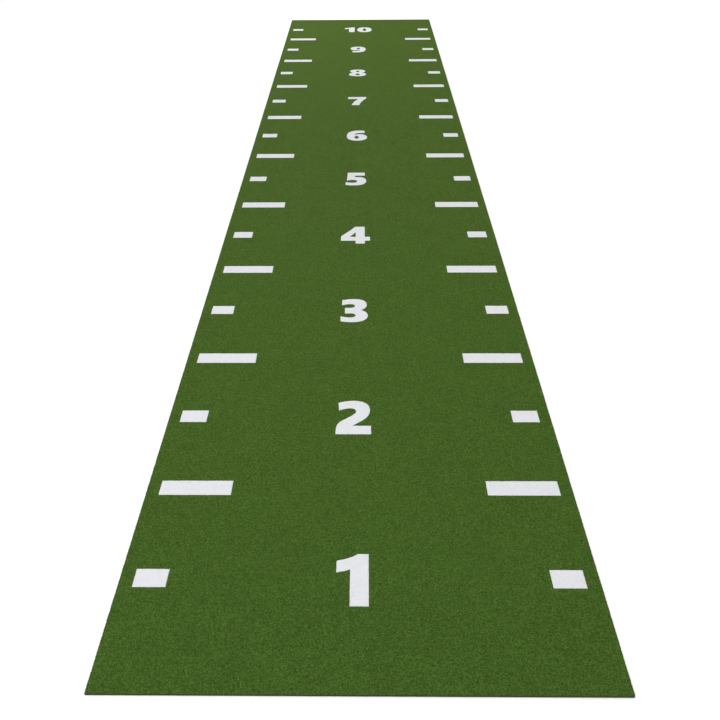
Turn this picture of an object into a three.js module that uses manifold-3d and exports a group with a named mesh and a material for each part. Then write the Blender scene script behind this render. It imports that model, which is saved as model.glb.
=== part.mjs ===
// A rolled-out practice mat of short green artificial grass, two metres wide and marked in metres.
// White pieces of the same grass are let into the green: a numeral for each metre down the middle,
// a short mark each side level with each numeral, and a long mark each side where two metres meet.
//
// Units are millimetres. X runs across the mat, Y along it from the first metre to the tenth, +Z is up.
// The origin is at the middle of the underside.

import * as THREE from "three";
import Module from "manifold-3d";

const wasm = await Module();
wasm.setup();
const { CrossSection } = wasm;

// The mat
const WIDTH = 2000;
const METRE = 1000; // from one long mark to the next
const METRES = 10;
const TRIM = 5; // taken off the first metre by the cut at the near end
const SPARE_END = 70; // turf left uncut beyond the tenth metre
const LENGTH = METRES * METRE - TRIM + SPARE_END;
const NEAR_END = -LENGTH / 2;
const FIRST_METRE_START = NEAR_END - TRIM;

// The layers, from the floor up
const GLUE_LINE = 0.3; // between one layer and the next
const BASE_THICKNESS = 3; // rubber foam base, in one sheet
const BACKING_THICKNESS = 1.2; // woven cloth that the tufts are stitched through
const PILE_HEIGHT = 10.2; // grass above its backing
const BACKING_BOTTOM = BASE_THICKNESS + GLUE_LINE;
const PILE_BOTTOM = BACKING_BOTTOM + BACKING_THICKNESS + GLUE_LINE;
const PILE_TOP = PILE_BOTTOM + PILE_HEIGHT;

// The marks
const KNIFE_GAP = 0.3; // between a let-in piece and the edge of its window
const MARK_DEPTH = 90; // along the mat
const MARK_END = 940; // outer end of every mark, from the mat's centre line
const SHORT_MARK = 140;
const LONG_MARK = 340;
const NUMERAL_X = -30; // the numerals stand a little left of the centre line
const NUMERAL_Y = -6; // and a little nearer than the short marks beside them
const TENTH_ONE_X = -152; // the two digits of the last numeral
const TENTH_ZERO_X = 56;
const CURVE_STEPS = 8; // straight pieces in one stretch of a numeral's curve
const COUNTER_STEPS = 28; // straight pieces round an oval counter

// The materials
const greenGrass = new THREE.MeshStandardMaterial({ color: 0x41602a, roughness: 0.9, metalness: 0 });
const whiteGrass = new THREE.MeshStandardMaterial({ color: 0xe6e8ec, roughness: 0.9, metalness: 0 });
const wovenCloth = new THREE.MeshStandardMaterial({ color: 0x2b2e2a, roughness: 0.85, metalness: 0 });
const foamRubber = new THREE.MeshStandardMaterial({ color: 0x3a3c3a, roughness: 0.95, metalness: 0 });

// ---- Outlines -------------------------------------------------------------------------------------

// A closed outline: a start point, then legs. A leg of two numbers is a straight line to that point,
// and a leg of six is a cubic curve, given by its two control points and its end.
function outline(start, ...legs) {
  const path = new THREE.Path();
  path.moveTo(...start);
  for (const leg of legs) {
    if (leg.length === 2) path.lineTo(...leg);
    else path.bezierCurveTo(...leg);
  }
  return path.getPoints(CURVE_STEPS);
}

function oval(x, y, halfWidth, halfHeight) {
  const path = new THREE.Path();
  path.absellipse(x, y, halfWidth, halfHeight, 0, 2 * Math.PI);
  return path.getPoints(COUNTER_STEPS);
}

function rectangle(width, depth) {
  const x = width / 2;
  const y = depth / 2;
  return outline([-x, -y], [x, -y], [x, y], [-x, y]);
}

const turnedHalfRound = (points) => points.map((p) => new THREE.Vector2(-p.x, -p.y));

// A flat region inside one outline, as a manifold-3d cross-section.
const region = (points) => CrossSection.ofPolygons([points.map((p) => [p.x, p.y])], "EvenOdd");

// A cross-section in one piece, as a three.js shape with its holes.
function shapeOf(section) {
  const shape = new THREE.Shape();
  for (const polygon of section.toPolygons()) {
    const points = polygon.map(([x, y]) => new THREE.Vector2(x, y));
    if (THREE.ShapeUtils.area(points) > 0) shape.setFromPoints(points);
    else shape.holes.push(new THREE.Path(points));
  }
  return shape;
}

// ---- Numerals -------------------------------------------------------------------------------------
// Bold upright figures about 260 mm tall, each drawn about its own middle. A counter is the green
// island that a figure closes round.

const ONE = {
  edge: outline(
    [72, 130],
    [26, 130],
    [8, 118, -12, 108, -34, 103],
    [-48, 100, -57, 98, -66, 93],
    [-66, 36],
    [-46, 38, -26, 43, -8, 51],
    [-8, -126],
    [71, -126],
  ),
};

const TWO = {
  edge: outline(
    [-83, 113],
    [-58, 124, -30, 130, 0, 130],
    [56, 130, 87, 102, 87, 54],
    [87, -8, 34, -34, -5, -66],
    [91, -66],
    [91, -130],
    [-93, -130],
    [-93, -100],
    [-92, -34, -56, -26, -22, 2],
    [0, 20, 12, 31, 12, 45],
    [12, 60, 1, 68, -16, 68],
    [-38, 68, -60, 61, -78, 50],
  ),
};

const THREE_FIGURE = {
  edge: outline(
    [-83, 119],
    [-58, 127, -32, 131, -4, 131],
    [46, 131, 76, 106, 76, 66],
    [76, 34, 60, 14, 36, 4],
    [66, -6, 82, -28, 82, -58],
    [82, -104, 42, -131, -18, -131],
    [-46, -131, -68, -127, -90, -120],
    [-90, -64],
    [-70, -74, -48, -78, -30, -78],
    [-8, -78, 3, -70, 3, -56],
    [3, -42, -8, -34, -30, -34],
    [-64, -34],
    [-64, 29],
    [-34, 29],
    [-12, 29, -1, 37, -1, 50],
    [-1, 64, -11, 71, -28, 71],
    [-48, 71, -66, 66, -83, 58],
  ),
};

const FOUR = {
  edge: outline(
    [-6, 131],
    [67, 131],
    [67, -27],
    [105, -27],
    [105, -88],
    [67, -88],
    [67, -131],
    [-2, -131],
    [-2, -88],
    [-110, -88],
    [-110, -22],
    [-82, 24, -34, 78, -6, 131],
  ),
  counters: { "": outline([-2, 42], [-2, -27], [-46, -27], [-32, -9, -12, 20, -2, 42]) },
};

const FIVE = {
  edge: outline(
    [-76, 130],
    [72, 130],
    [72, 67],
    [-12, 67],
    [-14, 36],
    [-4, 38, 6, 38, 14, 38],
    [58, 38, 84, 8, 84, -42],
    [84, -98, 46, -131, -16, -131],
    [-46, -131, -70, -127, -92, -119],
    [-92, -62],
    [-70, -73, -50, -77, -32, -77],
    [-8, -77, 5, -66, 5, -48],
    [5, -30, -8, -21, -30, -21],
    [-46, -21, -64, -25, -82, -32],
  ),
};

const SIX = {
  edge: outline(
    [72, 124],
    [54, 129, 34, 131, 14, 131],
    [-60, 131, -99, 78, -99, -10],
    [-99, -92, -62, -131, -2, -131],
    [58, -131, 97, -98, 97, -46],
    [97, 4, 68, 36, 22, 36],
    [4, 36, -12, 31, -25, 21],
    [-21, 51, 0, 67, 36, 67],
    [48, 67, 60, 65, 72, 61],
  ),
  counters: { "": oval(-4, -45, 21, 36) },
};

const SEVEN = {
  edge: outline(
    [-101, 130],
    [94, 130],
    [94, 80],
    [58, 26, 30, -50, 20, -130],
    [-62, -130],
    [-50, -50, -26, 16, 12, 66],
    [-101, 66],
  ),
};

const EIGHT = {
  edge: outline(
    [-2, 131],
    [52, 131, 88, 106, 88, 67],
    [88, 41, 74, 21, 50, 9],
    [80, -3, 99, -28, 99, -58],
    [99, -104, 60, -131, -2, -131],
    [-64, -131, -103, -104, -103, -58],
    [-103, -28, -84, -3, -54, 9],
    [-78, 21, -92, 41, -92, 67],
    [-92, 106, -56, 131, -2, 131],
  ),
  counters: { _upper: oval(-2, 60, 20, 26), _lower: oval(-2, -60, 25, 32) },
};

const NINE = {
  edge: turnedHalfRound(SIX.edge),
  counters: { "": turnedHalfRound(SIX.counters[""]) },
};

const ZERO = {
  edge: outline(
    [0, 131],
    [66, 131, 101, 82, 101, 0],
    [101, -82, 66, -131, 0, -131],
    [-66, -131, -101, -82, -101, 0],
    [-101, 82, -66, 131, 0, 131],
  ),
  counters: { "": oval(0, 0, 22, 74) },
};

// ---- Pieces let into the green --------------------------------------------------------------------

const mat = new THREE.Group();
const windows = []; // the regions cut out of the green turf

function addMesh(name, geometry, material, x, y, z) {
  const mesh = new THREE.Mesh(geometry, material);
  mesh.name = name;
  mesh.position.set(x, y, z);
  mat.add(mesh);
}

// A let-in piece is full turf: grass and its own backing, down to the base.
function addLetIn(name, section, material, x, y) {
  const depth = PILE_TOP - BACKING_BOTTOM;
  const geometry = new THREE.ExtrudeGeometry(shapeOf(section), { depth, bevelEnabled: false });
  addMesh(name, geometry, material, x, y, BACKING_BOTTOM);
}

// A white figure or mark in its window, and the green plug in each of its counters.
function addWhitePiece(name, figure, x, y) {
  const window = region(figure.edge);
  windows.push(window.translate([x, y]));
  let white = window;
  for (const [suffix, points] of Object.entries(figure.counters ?? {})) {
    const plug = region(points);
    white = white.subtract(plug);
    addLetIn(name.replace("number", "green_plug") + suffix, plug, greenGrass, x, y);
  }
  addLetIn(name, white.offset(-KNIFE_GAP, "Miter"), whiteGrass, x, y);
}

function addMarkPair(kind, length, order, y) {
  const x = MARK_END - length / 2;
  const figure = { edge: rectangle(length, MARK_DEPTH) };
  addWhitePiece(`${kind}_mark_left_${order}`, figure, -x, y);
  addWhitePiece(`${kind}_mark_right_${order}`, figure, x, y);
}

const middleOfMetre = (order) => FIRST_METRE_START + (order - 0.5) * METRE;

function addNumeral(name, figure, x, order) {
  addWhitePiece(name, figure, x, middleOfMetre(order) + NUMERAL_Y);
}

const FIGURES = [ONE, TWO, THREE_FIGURE, FOUR, FIVE, SIX, SEVEN, EIGHT, NINE];
FIGURES.forEach((figure, i) => addNumeral(`number_${i + 1}`, figure, NUMERAL_X, i + 1));
addNumeral("number_10_one", ONE, TENTH_ONE_X, METRES);
addNumeral("number_10_zero", ZERO, TENTH_ZERO_X, METRES);

for (let order = 1; order <= METRES; order++) addMarkPair("short", SHORT_MARK, order, middleOfMetre(order));
for (let order = 1; order < METRES; order++) {
  addMarkPair("long", LONG_MARK, order, FIRST_METRE_START + order * METRE);
}

// ---- Layers of the mat ----------------------------------------------------------------------------

// A manifold-3d solid as a three.js geometry.
function geometryOf(solid) {
  const { vertProperties, triVerts } = solid.getMesh();
  const geometry = new THREE.BufferGeometry();
  geometry.setAttribute("position", new THREE.BufferAttribute(vertProperties, 3));
  geometry.setIndex(new THREE.BufferAttribute(triVerts, 1));
  geometry.computeVertexNormals();
  return geometry;
}

const sheet = region(rectangle(WIDTH, LENGTH));
const cutSheet = sheet.subtract(CrossSection.union(windows));

function addSheet(name, section, bottom, thickness, material) {
  addMesh(name, geometryOf(section.extrude(thickness)), material, 0, 0, bottom);
}

addSheet("cushion_base", sheet, 0, BASE_THICKNESS, foamRubber);
addSheet("primary_backing", cutSheet, BACKING_BOTTOM, BACKING_THICKNESS, wovenCloth);
addSheet("green_pile", cutSheet, PILE_BOTTOM, PILE_HEIGHT, greenGrass);

export default mat;
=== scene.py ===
import math

import bpy
import numpy as np
from mathutils import Matrix, Vector
from mathutils.geometry import delaunay_2d_cdt


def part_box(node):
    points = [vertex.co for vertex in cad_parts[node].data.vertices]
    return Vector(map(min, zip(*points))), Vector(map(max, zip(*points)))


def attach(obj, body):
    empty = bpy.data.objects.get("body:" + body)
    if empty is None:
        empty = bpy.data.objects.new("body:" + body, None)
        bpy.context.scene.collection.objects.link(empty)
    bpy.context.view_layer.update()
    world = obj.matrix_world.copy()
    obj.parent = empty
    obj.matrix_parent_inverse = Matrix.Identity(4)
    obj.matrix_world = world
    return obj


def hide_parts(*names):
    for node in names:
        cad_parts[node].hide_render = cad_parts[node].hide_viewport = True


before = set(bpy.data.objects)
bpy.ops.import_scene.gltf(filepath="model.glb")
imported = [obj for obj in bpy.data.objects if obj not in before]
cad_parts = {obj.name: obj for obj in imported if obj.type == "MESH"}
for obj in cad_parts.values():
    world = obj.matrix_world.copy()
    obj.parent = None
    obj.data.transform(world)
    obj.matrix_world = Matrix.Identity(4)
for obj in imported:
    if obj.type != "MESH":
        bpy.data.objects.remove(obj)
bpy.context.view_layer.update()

MM = 0.001

# Everything is in metres: X across the mat, Y along it from the 1 to the 10, Z up, floor at Z = 0.
LOW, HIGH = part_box("green_pile")
BACKING_TOP = LOW.z
PILE_TOP = HIGH.z
HALF_WIDTH = HIGH.x
HALF_LENGTH = HIGH.y

# ---- Camera --------------------------------------------------------------------------------------

LENS = 36.11  # in mm, as Blender takes it
SENSOR = 36.0
SHIFT = 0.0093
CAMERA_SIDE = 0.0093  # to the right of the mat's middle line
CAMERA_BACK = 1.3194  # behind the mat's near end
CAMERA_HEIGHT = 2.5832
CAMERA_PITCH = math.radians(37.947)
CAMERA_YAW = math.radians(0.7905)
CAMERA_ROLL = math.radians(-0.4926)
FURTHEST_SEEN = 200.0


def make_camera():
    data = bpy.data.cameras.new("camera")
    data.lens = LENS
    data.sensor_width = SENSOR
    data.shift_x = SHIFT
    data.clip_end = FURTHEST_SEEN
    camera = bpy.data.objects.new("camera", data)
    turn = Matrix.Rotation(CAMERA_YAW, 4, "Z") @ Matrix.Rotation(math.pi / 2 - CAMERA_PITCH, 4, "X")
    place = Matrix.Translation((CAMERA_SIDE, -HALF_LENGTH - CAMERA_BACK, CAMERA_HEIGHT))
    camera.matrix_world = place @ turn @ Matrix.Rotation(CAMERA_ROLL, 4, "Z")
    bpy.context.scene.collection.objects.link(camera)
    bpy.context.scene.camera = camera


make_camera()

# ---- The lattice of tufts ------------------------------------------------------------------------
# Points alternate like the squares of a chessboard between the top of a tuft and the gap beside it.
# All pieces read this one lattice, so that neighbouring pieces meet exactly.

GAUGE = 5 * MM
ACROSS = round(2 * HALF_WIDTH / GAUGE)
ALONG = round(2 * HALF_LENGTH / GAUGE)
TUFT_TOP = PILE_TOP + 0.2 * MM
TUFT_JITTER = 0.6 * MM  # how far a tuft or a gap strays from its place
GAP_JITTER = 1.2 * MM
TUFT_UNEVEN = 0.5 * MM  # spread of the tufts' heights
GAP_DEPTH = (1.7 * MM, 3.4 * MM)  # below the tallest tuft
SWELL = 0.15 * MM  # slow rise and fall of the whole surface
SWELL_CELLS = 11
LEAN = 0.7 * MM  # how far a tuft's top leans over, in any direction
COMBED = 0.4  # how much of the lean is shared by neighbouring tufts
COMB_CELLS = (40, 55)
EDGE_DROP = (0.48 * MM, 1.6 * MM)  # the grass is lower along the mat's cut sides
SIDE_PROUD = 1.6 * MM  # the most that grass leans out over its backing along the long sides
END_INSET = 0.8 * MM  # the most that it stays back at the two ends
CUT_WOBBLE = 0.5 * MM  # how far a knife cut strays to either side

LATTICE_SEED = 41

chance = np.random.default_rng(LATTICE_SEED)


def smooth_noise(cell):
    """Noise over the lattice, from -1 to 1, that changes over about that many points."""
    shape = (ACROSS + 1, ALONG + 1)
    seed = chance.uniform(-1, 1, [int(n / cell) + 3 for n in shape])
    place = [np.arange(n) / cell for n in shape]
    base = [p.astype(int) for p in place]
    u, v = (p - b for p, b in zip(place, base))
    u = (u * u * (3 - 2 * u))[:, None]
    v = (v * v * (3 - 2 * v))[None, :]
    corner = [seed[np.ix_(base[0] + a, base[1] + b)] for a in (0, 1) for b in (0, 1)]
    start = corner[0] * (1 - u) + corner[2] * u
    end = corner[1] * (1 - u) + corner[3] * u
    return start * (1 - v) + end * v


def make_lattice():
    """The lattice's points, as an array of x, y, z."""
    shape = (ACROSS + 1, ALONG + 1)
    i, j = np.meshgrid(np.arange(shape[0]), np.arange(shape[1]), indexing="ij")
    tuft = (i + j) % 2 == 0
    shift = np.where(tuft, TUFT_JITTER, GAP_JITTER)
    x = i * GAUGE - HALF_WIDTH + shift * chance.uniform(-1, 1, shape)
    y = j * GAUGE - HALF_LENGTH + shift * chance.uniform(-1, 1, shape)
    for flat, cells in ((x, COMB_CELLS[0]), (y, COMB_CELLS[1])):
        shared = smooth_noise(cells)
        own = chance.uniform(-1, 1, shape)
        flat += tuft * LEAN * (COMBED * shared + (1 - COMBED) * own)
    short = abs(chance.normal(0, TUFT_UNEVEN, shape))
    z = TUFT_TOP - np.where(tuft, short, chance.uniform(*GAP_DEPTH, shape))
    z += SWELL * smooth_noise(SWELL_CELLS)
    side = (i == 0) | (i == ACROSS)
    end = (j == 0) | (j == ALONG)
    rag = chance.uniform(0, 1, shape)
    x = np.where(side, (i * GAUGE - HALF_WIDTH) * (1 + SIDE_PROUD * rag / HALF_WIDTH), x)
    y = np.where(end, (j * GAUGE - HALF_LENGTH) * (1 - END_INSET * rag / HALF_LENGTH), y)
    z = np.where(side | end, np.minimum(z, PILE_TOP) - chance.uniform(*EDGE_DROP, shape), z)
    return np.stack([x, y, z], -1)


LATTICE = make_lattice()


def lattice_normals():
    """The way the grass faces at each lattice point, from its neighbours on both sides."""
    ahead = np.gradient(LATTICE, axis=1)
    aside = np.gradient(LATTICE, axis=0)
    normal = np.cross(aside, ahead)
    return normal / np.linalg.norm(normal, axis=-1, keepdims=True)


FACING = lattice_normals()
WOBBLE = CUT_WOBBLE * chance.uniform(-1, 1, (ACROSS + 1, ALONG + 1, 2))


def lattice_place(x, y):
    """The numbers across and along of the lattice point nearest to x, y."""
    return round((x + HALF_WIDTH) / GAUGE), round((y + HALF_LENGTH) / GAUGE)


def wobbled(loop):
    """The loop moved a little, by the same amount wherever two loops lie side by side."""
    i = np.rint((loop[:, 0] + HALF_WIDTH) / GAUGE).astype(int)
    j = np.rint((loop[:, 1] + HALF_LENGTH) / GAUGE).astype(int)
    return loop + WOBBLE[i, j]


# ---- Outlines, read from the CAD nodes -----------------------------------------------------------

SHARP = 0.5  # radians: a turn above this is a corner, which an outline keeps
LEVEL = 1e-5  # a vertex this near to a node's top lies on it


def top_loops(node):
    """The closed outlines of a CAD node's top face, the outer one first."""
    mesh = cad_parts[node].data
    top = max(v.co.z for v in mesh.vertices)
    numbers = {}
    vertex = []
    for v in mesh.vertices:
        vertex.append(numbers.setdefault(tuple(round(c, 6) for c in v.co), len(numbers)))
    place = list(numbers)
    edges = set()
    for p in mesh.polygons:
        ring = [vertex[v] for v in p.vertices]
        if all(abs(place[n][2] - top) < LEVEL for n in ring):
            edges.update(zip(ring, ring[1:] + ring[:1]))
    follows = {a: b for a, b in edges if (b, a) not in edges}
    loops = []
    while follows:
        start, b = follows.popitem()
        loop = [start]
        while b != start:
            loop.append(b)
            b = follows.pop(b)
        loops.append(even_steps(np.array([place[n][:2] for n in loop])))
    return sorted(loops, key=lambda l: -np.ptp(l[:, 1]))


def even_steps(loop):
    """The loop in steps of about one gauge, with its sharp corners kept."""
    fine = []
    for a, b in zip(loop, np.roll(loop, -1, axis=0)):
        n = max(1, round(math.dist(a, b) / GAUGE))
        fine += [a + (b - a) * k / n for k in range(n)]
    fine = np.array(fine)
    before = fine - np.roll(fine, 1, axis=0)
    after = np.roll(before, -1, axis=0)
    cross = before[:, 0] * after[:, 1] - before[:, 1] * after[:, 0]
    turn = np.arctan2(cross, (before * after).sum(1))
    keep = []
    for k, point in enumerate(fine):
        if abs(turn[k]) > SHARP or not keep or math.dist(point, fine[keep[-1]]) >= 0.5 * GAUGE:
            keep.append(k)
    return fine[keep]


def inside(points, loop):
    """Which points lie inside the loop."""
    x, y = points[:, 0], points[:, 1]
    hit = np.zeros(len(points), bool)
    for (ax, ay), (bx, by) in zip(loop, np.roll(loop, -1, axis=0)):
        if ay != by:
            hit ^= ((ay > y) != (by > y)) & (x < (bx - ax) * (y - ay) / (by - ay) + ax)
    return hit


def near(points, loop, reach):
    """Which points lie within reach of the loop's line."""
    close = np.zeros(len(points), bool)
    for a, b in zip(loop, np.roll(loop, -1, axis=0)):
        d = b - a
        t = np.clip((points - a) @ d / max(d @ d, 1e-12), 0, 1)
        close |= np.hypot(*(points - a - t[:, None] * d).T) < reach
    return close


# ---- Turf ----------------------------------------------------------------------------------------

CUT_DEPTH = 2.4 * MM  # how far the grass drops at a knife cut
CUT_UNEVEN = 0.4 * MM  # spread of that drop
CLEAR = 2.3 * MM  # lattice points nearer to a cut than this are left out
INSIDE_OUTLINE = 1  # makes delaunay_2d_cdt give only the triangles inside the outer rim
SAME_POINT = 1e-7


def cut_rim(loop, rng):
    """A knife cut's rim as x, y, z."""
    z = PILE_TOP - CUT_DEPTH + rng.normal(0, CUT_UNEVEN, len(loop))
    return np.column_stack([wobbled(loop), z])


def in_range(numbers):
    """Every pair of a number from the first range and one from the second."""
    ranges = [np.arange(*n) for n in numbers]
    return np.stack(np.meshgrid(*ranges, indexing="ij"), -1).reshape(-1, 2)


def diagonals(i, j):
    """Whether the cell at i, j has its gaps at its first and third corners."""
    return (i + j) % 2 == 1


def fill(rims, holes, window, clear_rims):
    """Fills the area inside rims[0] and outside the holes with the window's lattice points.

    Returns the points, those of the rims first, and the triangles. Tufts stay apart, because the
    gaps are joined to each other across each cell."""
    (i0, i1), (j0, j1) = window
    place = LATTICE[i0:i1, j0:j1]
    flat = place.reshape(-1, 3)[:, :2]
    free = inside(flat, rims[0][:, :2])
    for hole in holes:
        free &= ~inside(flat, hole)
    for rim in clear_rims:
        free &= ~near(flat, rim[:, :2], CLEAR)
    count = sum(len(r) for r in rims)
    number = np.full(len(flat), -1)
    number[free] = count + np.arange(free.sum())
    number = number.reshape(place.shape[:2])
    a, b, c, d = number[:-1, :-1], number[1:, :-1], number[1:, 1:], number[:-1, 1:]
    whole = (a >= 0) & (b >= 0) & (c >= 0) & (d >= 0)
    i, j = np.meshgrid(np.arange(i0, i1 - 1), np.arange(j0, j1 - 1), indexing="ij")
    rising = diagonals(i, j)
    links = [(int(p), int(q)) for p, q in zip(a[whole & rising], c[whole & rising])]
    links += [(int(p), int(q)) for p, q in zip(b[whole & ~rising], d[whole & ~rising])]
    points = np.concatenate([*rims, place.reshape(-1, 3)[free]])
    return points, triangulate(points[:, :2], [len(r) for r in rims], holes, links)


def triangulate(flat, rim_sizes, holes, links=()):
    """Triangles over flat points, the first of which form the rims; none lies inside a hole."""
    edges = list(links)
    first = 0
    for n in rim_sizes:
        edges += [(first + k, first + (k + 1) % n) for k in range(n)]
        first += n
    corners = [Vector(p) for p in flat]
    _, _, faces, origin, _, _ = delaunay_2d_cdt(corners, edges, [], INSIDE_OUTLINE, SAME_POINT)
    assert all(origin), "two rims or links cross"
    faces = np.array([[origin[v][0] for v in f] for f in faces])
    keep = np.ones(len(faces), bool)
    rim_only = (faces < first).all(1)
    middle = flat[faces[rim_only]].mean(1)
    gone = np.zeros(len(middle), bool)
    for hole in holes:
        gone |= inside(middle, hole[:, :2])
    keep[np.flatnonzero(rim_only)[gone]] = False
    return faces[keep]


def upward(points, faces):
    """The triangles, all turned to face up."""
    a, b, c = (points[faces[:, k]] for k in range(3))
    down = (b - a)[:, 0] * (c - a)[:, 1] - (b - a)[:, 1] * (c - a)[:, 0] < 0
    faces = faces.copy()
    faces[down] = faces[down][:, ::-1]
    return faces


def close_body(name, top, faces, rims, bottom):
    """A closed body under the top: a wall down each rim (a list of its points) and a flat bottom."""
    faces = upward(top, faces)
    rim = np.concatenate(rims)
    low = np.column_stack([top[rim, :2], np.full(len(rim), bottom)])
    low_number = len(top) + np.arange(len(rim))
    at_rim = faces[np.isin(faces, rim).sum(1) > 1]
    edges = {(int(f[k]), int(f[(k + 1) % 3])) for f in at_rim for k in range(3)}
    walls = []
    first = 0
    for r in rims:
        n = len(r)
        for k in range(n):
            a, b = int(r[k]), int(r[(k + 1) % n])
            p, q = low_number[first + k], low_number[first + (k + 1) % n]
            walls.append((b, a, p, q) if (a, b) in edges else (a, b, q, p))
        first += n
    sizes = [len(r) for r in rims]
    holes = [top[r] for r in rims[1:]]
    under = upward(low, triangulate(low[:, :2], sizes, holes))[:, ::-1] + len(top)
    return mesh_piece(name, [top, low], faces.tolist() + walls + under.tolist(), len(faces))


def mesh_piece(name, points, faces, smooth_faces):
    """An object with this mesh, whose first faces are shaded smooth."""
    mesh = bpy.data.meshes.new(name)
    mesh.from_pydata(np.concatenate(points).tolist(), [], faces)
    smooth = np.arange(len(mesh.polygons)) < smooth_faces
    mesh.polygons.foreach_set("use_smooth", smooth)
    piece = bpy.data.objects.new(name, mesh)
    bpy.context.scene.collection.objects.link(piece)
    return piece


def box_walk(i0, i1, j0, j1):
    """The lattice points round a box, in order."""
    walk = [(i, j0) for i in range(i0, i1)] + [(i1, j) for j in range(j0, j1)]
    return walk + [(i, j1) for i in range(i1, i0, -1)] + [(i0, j) for j in range(j1, j0, -1)]


MARGIN = 2  # cells between a window and the regular lattice round it
ROW_STEP = 0.5  # windows of one row lie nearer together along the mat than this


def green_pile(name, x0, x1, y0, y1, windows, rng):
    """One part of the green pile: regular cells, and a filled patch round each row's windows."""
    i0, j0 = lattice_place(x0, y0)
    i1, j1 = lattice_place(x1, y1)
    cells = in_range(((i0, i1), (j0, j1)))
    number = np.arange((i1 - i0 + 1) * (j1 - j0 + 1)).reshape(i1 - i0 + 1, j1 - j0 + 1)
    top = [LATTICE[i0 : i1 + 1, j0 : j1 + 1].reshape(-1, 3)]
    faces = []
    rims = [[number[i - i0, j - j0] for i, j in box_walk(i0, i1, j0, j1)]]
    used = np.ones(len(cells), bool)
    mine = [w for w in windows if x0 < w[:, 0].mean() < x1 and y0 < w[:, 1].mean() < y1]
    rows = {}
    for w in mine:
        rows.setdefault(round((w[:, 1].mean() + HALF_LENGTH) / ROW_STEP), []).append(w)
    count = number.size
    for row in rows.values():
        every = np.concatenate(row)
        a0, b0 = (v - MARGIN for v in lattice_place(*every.min(0)))
        a1, b1 = (v + MARGIN for v in lattice_place(*every.max(0)))
        walk = box_walk(a0, a1, b0, b1)
        border = np.array([LATTICE[p] for p in walk])
        cuts = [cut_rim(w, rng) for w in row]
        window = ((a0 + 1, a1), (b0 + 1, b1))
        points, patch = fill([border, *cuts], [c[:, :2] for c in cuts], window, cuts)
        new = np.arange(count, count + len(points) - len(border))
        names = np.concatenate([[number[i - i0, j - j0] for i, j in walk], new])
        faces.append(names[patch])
        top.append(points[len(border) :])
        for c in cuts:
            rims.append(new[: len(c)])
            new = new[len(c) :]
        count += len(points) - len(border)
        within = (cells >= (a0, b0)).all(1) & (cells < (a1, b1)).all(1)
        used &= ~within
    i, j = cells[used].T
    a, b, c, d = (number[i - i0 + p, j - j0 + q] for p, q in ((0, 0), (1, 0), (1, 1), (0, 1)))
    rising = diagonals(i, j)[:, None]
    faces.append(np.where(rising, np.stack([a, b, c], 1), np.stack([a, b, d], 1)))
    faces.append(np.where(rising, np.stack([a, c, d], 1), np.stack([b, c, d], 1)))
    top = np.concatenate(top)
    facing = np.zeros((len(top), 3))
    facing[rims[0]] = [FACING[p] for p in box_walk(i0, i1, j0, j1)]
    return closed_piece(name, top, np.concatenate(faces), rims, BACKING_TOP, facing)


def closed_piece(name, top, faces, rims, bottom, facing=None):
    """Drops the points that no triangle uses, and closes the body."""
    used = np.zeros(len(top), bool)
    used[faces] = True
    number = np.cumsum(used) - 1
    piece = close_body(name, top[used], number[faces], [number[np.array(r)] for r in rims], bottom)
    if facing is not None:
        set_facing(piece.data, facing[used], 3 * len(faces))
    return piece


def set_facing(mesh, facing, top_corners):
    """Shades the top by the given normals, or as usual where they are zero."""
    point = np.zeros(len(mesh.loops), int)
    mesh.loops.foreach_get("vertex_index", point)
    corners = np.zeros((len(mesh.loops), 3))
    corners[:top_corners] = facing[point[:top_corners]]
    mesh.normals_split_custom_set(corners.tolist())


def let_in(name, node, rng):
    """The turf of one let-in piece."""
    cuts = [cut_rim(loop, rng) for loop in top_loops(node)]
    i0, j0 = lattice_place(*cuts[0][:, :2].min(0))
    i1, j1 = lattice_place(*cuts[0][:, :2].max(0))
    top, faces = fill(cuts, [c[:, :2] for c in cuts[1:]], ((i0, i1 + 1), (j0, j1 + 1)), cuts)
    number = np.arange(len(top))
    rims = []
    for c in cuts:
        rims.append(number[: len(c)])
        number = number[len(c) :]
    return closed_piece(name, top, faces, rims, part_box(node)[0].z)


# ---- Backing and foam ----------------------------------------------------------------------------

FRAY = 0.6 * MM  # how far the backing's outer edge goes in and out
CLOTH_UNEVEN = 0.15 * MM
FOAM_STEP = 40 * MM
FOAM_ROUND = 1.5 * MM  # from the foam's edge to the first line of its grid
FOAM_UNEVEN = 0.3 * MM  # of its underside
FOAM_TOP_UNEVEN = 0.1 * MM
FOAM_CUT = 0.3 * MM
# The foam's edge has four levels. The lowest and the highest are given as how far in from the side
# and how far from the bottom or top; the two between them wander inwards by up to FOAM_CUT.
UNDER_EDGE = (0.5 * MM, 0.4 * MM)
LOWER_SIDE = 1.1 * MM
UPPER_SIDE = 0.9 * MM
OVER_EDGE = (0.4 * MM, 0.2 * MM)


def backing_sheet(name, rng):
    """The woven backing, with its cut edges a little uneven."""
    low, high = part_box("primary_backing")
    loops = top_loops("primary_backing")
    loops[0] = loops[0] * (1 - rng.uniform(0, FRAY, loops[0].shape) / (HALF_WIDTH, HALF_LENGTH))
    loops[1:] = [wobbled(loop) for loop in loops[1:]]
    sizes = [len(loop) for loop in loops]
    flat = np.concatenate(loops)
    top = np.column_stack([flat, high.z - rng.uniform(0, CLOTH_UNEVEN, len(flat))])
    first = np.cumsum([0] + sizes)
    rims = [np.arange(a, b) for a, b in zip(first, first[1:])]
    return close_body(name, top, triangulate(flat, sizes, loops[1:]), rims, low.z)


def foam_lines(half):
    """Where the foam's grid lines cross one axis: even steps, and one line close to each edge."""
    steps = round(2 * half / FOAM_STEP)
    inner = np.linspace(FOAM_ROUND - half, half - FOAM_ROUND, steps + 1)
    return np.concatenate([[-half], inner, [half]])


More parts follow.
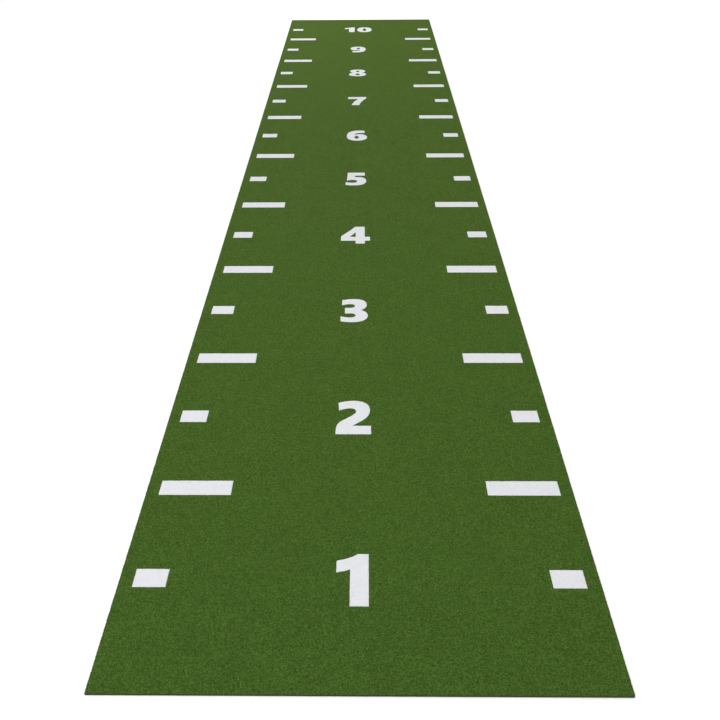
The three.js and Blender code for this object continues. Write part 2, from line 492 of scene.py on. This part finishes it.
def foam_sheet(name, rng):
    """The foam base: softly rounded edges, and a slightly uneven top and underside."""
    low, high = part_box("cushion_base")
    x, y = np.meshgrid(foam_lines(HALF_WIDTH), foam_lines(HALF_LENGTH), indexing="ij")
    number = np.arange(x.size).reshape(x.shape)
    walk = np.array([number[p] for p in box_walk(0, x.shape[0] - 1, 0, x.shape[1] - 1)])
    flat = np.column_stack([x.ravel(), y.ravel()])
    half = np.array([HALF_WIDTH, HALF_LENGTH])

    def ring(inset, z):
        return np.column_stack([flat[walk] * (1 - inset / half), np.full(len(walk), z)])

    under = np.column_stack([flat, low.z + rng.uniform(0, FOAM_UNEVEN, len(flat))])
    over = np.column_stack([flat, high.z - rng.uniform(0, FOAM_TOP_UNEVEN, len(flat))])
    under[walk] = ring(UNDER_EDGE[0], low.z + UNDER_EDGE[1])
    over[walk] = ring(OVER_EDGE[0], high.z - OVER_EDGE[1])
    knife = rng.uniform(0, FOAM_CUT, (2, len(walk), 1))
    sides = [ring(knife[0], low.z + LOWER_SIDE), ring(knife[1], high.z - UPPER_SIDE)]
    count = len(flat)
    level = np.arange(len(walk))
    levels = [walk, 2 * count + level, 2 * count + len(walk) + level, count + walk]
    a, b, c, d = number[:-1, :-1], number[1:, :-1], number[1:, 1:], number[:-1, 1:]
    quads = np.stack([a.ravel(), b.ravel(), c.ravel(), d.ravel()], 1)
    faces = [quads[:, ::-1], quads + count]
    for p, q in zip(levels, levels[1:]):
        faces.append(np.stack([p, np.roll(p, -1), np.roll(q, -1), q], 1))
    faces = np.concatenate(faces).tolist()
    return mesh_piece(name, [under, over, *sides], faces, len(faces))


# ---- Materials -----------------------------------------------------------------------------------

TAPE = 2.6 * MM  # from one tape of the backing's weave to the next
TAPE_RELIEF = 0.4 * MM
WAVE_RADIANS = 20  # how far the wave texture turns in one metre at a scale of 1
FIBRES_PER_METRE = 400
FIBRE_SHARE = 0.3  # of a tape's height
PIT = 2.2 * MM  # from one pit of the foam to the next
PIT_RELIEF = 0.5 * MM
GRAIN_SHARE = 0.4  # of the foam's relief and of its colour's light and dark; the pits, painted darker as shade, have the rest
FOAM_GRAINS_PER_METRE = 900
FOAM_CLOUDS_PER_METRE = 7
NOISE_SPAN = (0.3, 0.7)  # noise hardly ever leaves this range


class Nodes:
    """A few short ways to build a node tree."""

    def __init__(self, name):
        self.material = bpy.data.materials.new(name)
        self.material.use_nodes = True
        self.tree = self.material.node_tree
        self.shader = self.tree.nodes["Principled BSDF"]
        self.place = self.add("ShaderNodeNewGeometry").outputs["Position"]

    def add(self, kind, **settings):
        node = self.tree.nodes.new(kind)
        for key, value in settings.items():
            setattr(node, key, value)
        return node

    def join(self, value, socket):
        """Links the value to the socket, or sets the socket where the value is a constant."""
        if isinstance(value, bpy.types.NodeSocket):
            self.tree.links.new(value, socket)
        else:
            socket.default_value = value

    def noise(self, per_metre, stretch=(1, 1, 1)):
        """Noise from 0 to 1 with so many features to a metre, and three steps of finer detail."""
        spread = self.add("ShaderNodeMapping", vector_type="POINT")
        spread.inputs["Scale"].default_value = [per_metre * s for s in stretch]
        self.join(self.place, spread.inputs["Vector"])
        node = self.add("ShaderNodeTexNoise")
        node.inputs["Scale"].default_value = 1.0
        node.inputs["Detail"].default_value = 3.0
        self.join(spread.outputs["Vector"], node.inputs["Vector"])
        return node.outputs["Fac"]

    def ramp(self, value, low, high, to_low=0.0, to_high=1.0):
        """The value taken from between low and high to between to_low and to_high."""
        node = self.add("ShaderNodeMapRange")
        limits = {"From Min": low, "From Max": high, "To Min": to_low, "To Max": to_high}
        for key, limit in limits.items():
            node.inputs[key].default_value = limit
        self.join(value, node.inputs["Value"])
        return node.outputs["Result"]

    def mix(self, factor, a, b, blend="MIX"):
        node = self.add("ShaderNodeMix", data_type="RGBA", blend_type=blend)
        self.join(factor, node.inputs["Factor"])
        self.join(a, node.inputs[6])
        self.join(b, node.inputs[7])
        return node.outputs[2]

    def combine(self, a, b=0.0, operation="ADD"):
        """The sum of two values, or what else the operation makes of them."""
        node = self.add("ShaderNodeMath", operation=operation)
        self.join(a, node.inputs[0])
        self.join(b, node.inputs[1])
        return node.outputs[0]

    def wave(self, direction):
        """Bands across the given axis from 0 to 1, one for every tape of the backing's weave."""
        node = self.add("ShaderNodeTexWave", wave_type="BANDS", bands_direction=direction)
        node.inputs["Scale"].default_value = 2 * math.pi / WAVE_RADIANS / TAPE
        self.join(self.place, node.inputs["Vector"])
        return node.outputs["Fac"]

    def bump(self, height, distance, strength):
        node = self.add("ShaderNodeBump")
        node.inputs["Distance"].default_value = distance
        node.inputs["Strength"].default_value = strength
        self.join(height, node.inputs["Height"])
        self.join(node.outputs["Normal"], self.shader.inputs["Normal"])

    def split(self, value, channel, kind="ShaderNodeSeparateXYZ"):
        node = self.add(kind)
        self.join(value, node.inputs[0])
        return node.outputs[channel]

    def cells(self, size):
        """A random number from 0 to 1 for each cell of about the given size."""
        node = self.add("ShaderNodeTexVoronoi", voronoi_dimensions="2D")
        node.inputs["Scale"].default_value = 1 / size
        self.join(self.place, node.inputs["Vector"])
        return self.split(node.outputs["Color"], 0, "ShaderNodeSeparateColor")

    def blades(self, cell, width, length):
        """Strokes of the given width and length, from 0 to 1, turned another way in each cell."""
        turned = self.add("ShaderNodeVectorRotate", rotation_type="Z_AXIS")
        self.join(self.place, turned.inputs["Vector"])
        self.join(self.combine(self.cells(cell), 2 * math.pi, "MULTIPLY"), turned.inputs["Angle"])
        spread = self.add("ShaderNodeMapping", vector_type="POINT")
        spread.inputs["Scale"].default_value = (1 / width, 1 / length, 1)
        self.join(turned.outputs["Vector"], spread.inputs["Vector"])
        node = self.add("ShaderNodeTexNoise", noise_dimensions="2D")
        node.inputs["Scale"].default_value = 1.0
        node.inputs["Detail"].default_value = 1.0
        self.join(spread.outputs["Vector"], node.inputs["Vector"])
        return node.outputs["Fac"]


# For two layers of blades: the size of a clump that points one way, and a blade's width and length.
SHORT_BLADES = (6 * MM, 0.9 * MM, 5 * MM)
LONG_BLADES = (9 * MM, 1.1 * MM, 7 * MM)
BLADE_SPAN = (0.7, 1.3)  # the two layers added up hardly ever leave this range
BLADE_RELIEF = 1.0 * MM
TUFT_CELL = 3.6 * MM
CLOUDS_PER_METRE = 5
ROOT_SHADE_LEVEL = PILE_TOP - 7.5 * MM  # the blades are fully in painted shade (the root colour) here, and turn slowly to their full colour here
TIP_LEVEL = PILE_TOP - 0.5 * MM  # their full colour here


def grass_material(name, dark, light, root, tuft_tints, cloud_range, sheen, sheen_tint):
    """Blades from dark to light, shaded by tuft and in faint clouds, with painted shade towards the
    root for the shade in the gaps between tufts.
    """
    n = Nodes(name)
    blades = n.ramp(n.combine(n.blades(*SHORT_BLADES), n.blades(*LONG_BLADES)), *BLADE_SPAN)
    tuft = n.mix(n.cells(TUFT_CELL), *tuft_tints)
    cloud = n.ramp(n.noise(CLOUDS_PER_METRE), *NOISE_SPAN, *cloud_range)
    shade = n.mix(1.0, tuft, cloud, "MULTIPLY")
    colour = n.mix(1.0, n.mix(blades, dark, light), shade, "MULTIPLY")
    # painted shade: below the tips the colour turns towards the root colour, standing in for the
    # shade between tufts and on cut walls
    height = n.ramp(n.split(n.place, "Z"), ROOT_SHADE_LEVEL, TIP_LEVEL)
    n.join(n.mix(height, root, colour), n.shader.inputs["Base Color"])
    n.join(n.ramp(blades, 0, 1, 0.9, 0.7), n.shader.inputs["Roughness"])
    n.shader.inputs["Specular IOR Level"].default_value = 0.11
    n.shader.inputs["Sheen Weight"].default_value = sheen
    n.shader.inputs["Sheen Roughness"].default_value = 0.5
    n.shader.inputs["Sheen Tint"].default_value = sheen_tint
    n.bump(blades, BLADE_RELIEF, 0.6)
    return n.material


GREEN = grass_material(
    "green_grass",
    dark=(0.0274, 0.0700, 0.0045, 1),
    light=(0.0678, 0.1340, 0.0204, 1),
    # root: painted shade of the gaps between tufts, not the blades' own colour
    root=(0.0160, 0.0310, 0.0048, 1),
    tuft_tints=((0.43, 0.57, 0.25, 1), (1.57, 1.43, 1.75, 1)),
    cloud_range=(0.965, 1.035),
    sheen=0.062,
    sheen_tint=(0.95, 1.0, 0.02, 1),
)
WHITE = grass_material(
    "white_grass",
    dark=(0.672, 0.678, 0.705, 1),
    light=(0.727, 0.734, 0.766, 1),
    # root: painted shade of the gaps between tufts, not the blades' own colour
    root=(0.575, 0.585, 0.585, 1),
    tuft_tints=((0.985, 0.985, 0.985, 1), (1.015, 1.015, 1.015, 1)),
    cloud_range=(0.995, 1.005),
    sheen=0.0,
    sheen_tint=(1.0, 1.0, 1.0, 1),
)


def cloth_material():
    """Plain weave of flat tapes, with painted light where a tape stands up and painted shade in the
    dips between.
    """
    n = Nodes("woven_cloth")
    weave = n.combine(n.combine(n.wave("X"), n.wave("Y"), "SUBTRACT"), operation="ABSOLUTE")
    fibre = n.combine(n.noise(FIBRES_PER_METRE, (1, 0.1, 1)), FIBRE_SHARE, "MULTIPLY")
    height = n.combine(weave, fibre)
    # painted light and shade: the colour follows the weave's height, lighter on raised tapes, darker
    # in the dips
    shade = n.ramp(height, 0.0, 1 + FIBRE_SHARE)
    colour = n.mix(shade, (0.014, 0.015, 0.014, 1), (0.045, 0.048, 0.045, 1))
    n.join(colour, n.shader.inputs["Base Color"])
    n.join(n.ramp(shade, 0, 1, 0.85, 0.6), n.shader.inputs["Roughness"])
    n.bump(height, TAPE_RELIEF, 0.8)
    return n.material


def foam_material():
    """Closed-cell rubber foam with small pits, painted darker towards their middles as shade, and
    faint clouds.
    """
    n = Nodes("foam_rubber")
    cells = n.add("ShaderNodeTexVoronoi")
    cells.inputs["Scale"].default_value = 1 / PIT
    n.join(n.place, cells.inputs["Vector"])
    pits = n.ramp(cells.outputs["Distance"], 0.0, 0.8)
    grain = n.noise(FOAM_GRAINS_PER_METRE)
    cloud = n.ramp(n.noise(FOAM_CLOUDS_PER_METRE), *NOISE_SPAN, 0.9, 1.1)
    # painted shade: the colour darkens towards each pit's middle; the grain is the rubber's own
    # random tone
    pit_shade = n.combine(pits, 1 - GRAIN_SHARE, "MULTIPLY")
    shade = n.combine(pit_shade, n.combine(grain, GRAIN_SHARE, "MULTIPLY"))
    colour = n.mix(shade, (0.026, 0.028, 0.026, 1), (0.062, 0.065, 0.061, 1))
    n.join(n.mix(1.0, colour, cloud, "MULTIPLY"), n.shader.inputs["Base Color"])
    n.join(n.ramp(grain, 0, 1, 0.95, 0.8), n.shader.inputs["Roughness"])
    n.bump(shade, PIT_RELIEF, 0.8)
    return n.material


CLOTH = cloth_material()
FOAM = foam_material()


# ---- The mat -------------------------------------------------------------------------------------


def finish_piece(piece, material, slot, *nodes):
    """Gives the piece its material and its body, and hides the nodes that it stands for."""
    piece.data.materials.append(material)
    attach(piece, "root")
    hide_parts(*nodes)


# The green pile's parts meet along these lines, which pass between the let-in pieces.
COLUMNS = (-HALF_WIDTH, -0.25, 0.20, HALF_WIDTH)
BANDS = (-HALF_LENGTH, *(-HALF_LENGTH + y for y in (2.25, 4.75, 7.25)), HALF_LENGTH)
COLUMN_NAMES = ("left", "middle", "right")
PILE_SEED = 100
LET_IN_SEED = 500
FOAM_SEED = 7
BACKING_SEED = 8


def make_green():
    windows = top_loops("green_pile")[1:]
    for b, (y0, y1) in enumerate(zip(BANDS, BANDS[1:])):
        for c, (x0, x1) in enumerate(zip(COLUMNS, COLUMNS[1:])):
            name = f"green_pile_{COLUMN_NAMES[c]}_{b + 1}"
            rng = np.random.default_rng(PILE_SEED + 10 * b + c)
            piece = green_pile(name, x0, x1, y0, y1, windows, rng)
            finish_piece(piece, GREEN, "green_grass", "green_pile")


def make_let_in_pieces():
    for k, node in enumerate(sorted(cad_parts)):
        rng = np.random.default_rng(LET_IN_SEED + k)
        if node.startswith("green_plug"):
            finish_piece(let_in(node + "_turf", node, rng), GREEN, "green_grass", node)
        elif node.startswith(("number", "short_mark", "long_mark")):
            finish_piece(let_in(node + "_turf", node, rng), WHITE, "white_grass", node)


make_green()
make_let_in_pieces()

BASE = foam_sheet("cushion_base_foam", np.random.default_rng(FOAM_SEED))
BACKING = backing_sheet("primary_backing_cloth", np.random.default_rng(BACKING_SEED))
finish_piece(BASE, FOAM, "foam_rubber", "cushion_base")
finish_piece(BACKING, CLOTH, "woven_cloth", "primary_backing")

# ---- Floor and light -----------------------------------------------------------------------------

FLOOR_SIZE = 120.0


def make_floor():
    mesh = bpy.data.meshes.new("floor")
    h = FLOOR_SIZE / 2
    mesh.from_pydata([(-h, -h, 0), (h, -h, 0), (h, h, 0), (-h, h, 0)], [], [(0, 1, 2, 3)])
    floor = bpy.data.objects.new("floor", mesh)
    bpy.context.scene.collection.objects.link(floor)
    n = Nodes("pale_floor")
    n.shader.inputs["Base Color"].default_value = (0.96, 0.96, 0.96, 1)
    n.shader.inputs["Roughness"].default_value = 0.9
    n.shader.inputs["Specular IOR Level"].default_value = 0.1
    mesh.materials.append(n.material)


SOFTBOX_WIDTH = 2.5
SOFTBOX_SIDE = -2.1  # both hang to the left of the mat, tilted towards its middle line


def softbox(name, watts, length, along, height):
    data = bpy.data.lights.new(name, "AREA")
    data.shape = "RECTANGLE"
    data.size = SOFTBOX_WIDTH
    data.size_y = length
    data.energy = watts
    box = bpy.data.objects.new(name, data)
    tilt = Matrix.Rotation(math.atan2(SOFTBOX_SIDE, height), 4, "Y")
    box.matrix_world = Matrix.Translation((SOFTBOX_SIDE, along, height)) @ tilt
    box.visible_camera = False
    bpy.context.scene.collection.objects.link(box)


def make_light():
    world = bpy.data.worlds.new("studio")
    world.use_nodes = True
    world.node_tree.nodes["Background"].inputs["Color"].default_value = (1.0, 1.0, 1.0, 1)
    world.node_tree.nodes["Background"].inputs["Strength"].default_value = 1.0
    bpy.context.scene.world = world
    softbox("near_softbox", watts=150.0, length=2.0, along=-4.6, height=6.4)
    softbox("far_softbox", watts=82.0, length=6.4, along=6.4, height=3.3)


make_floor()
make_light()
bpy.context.scene.view_settings.view_transform = "Standard"
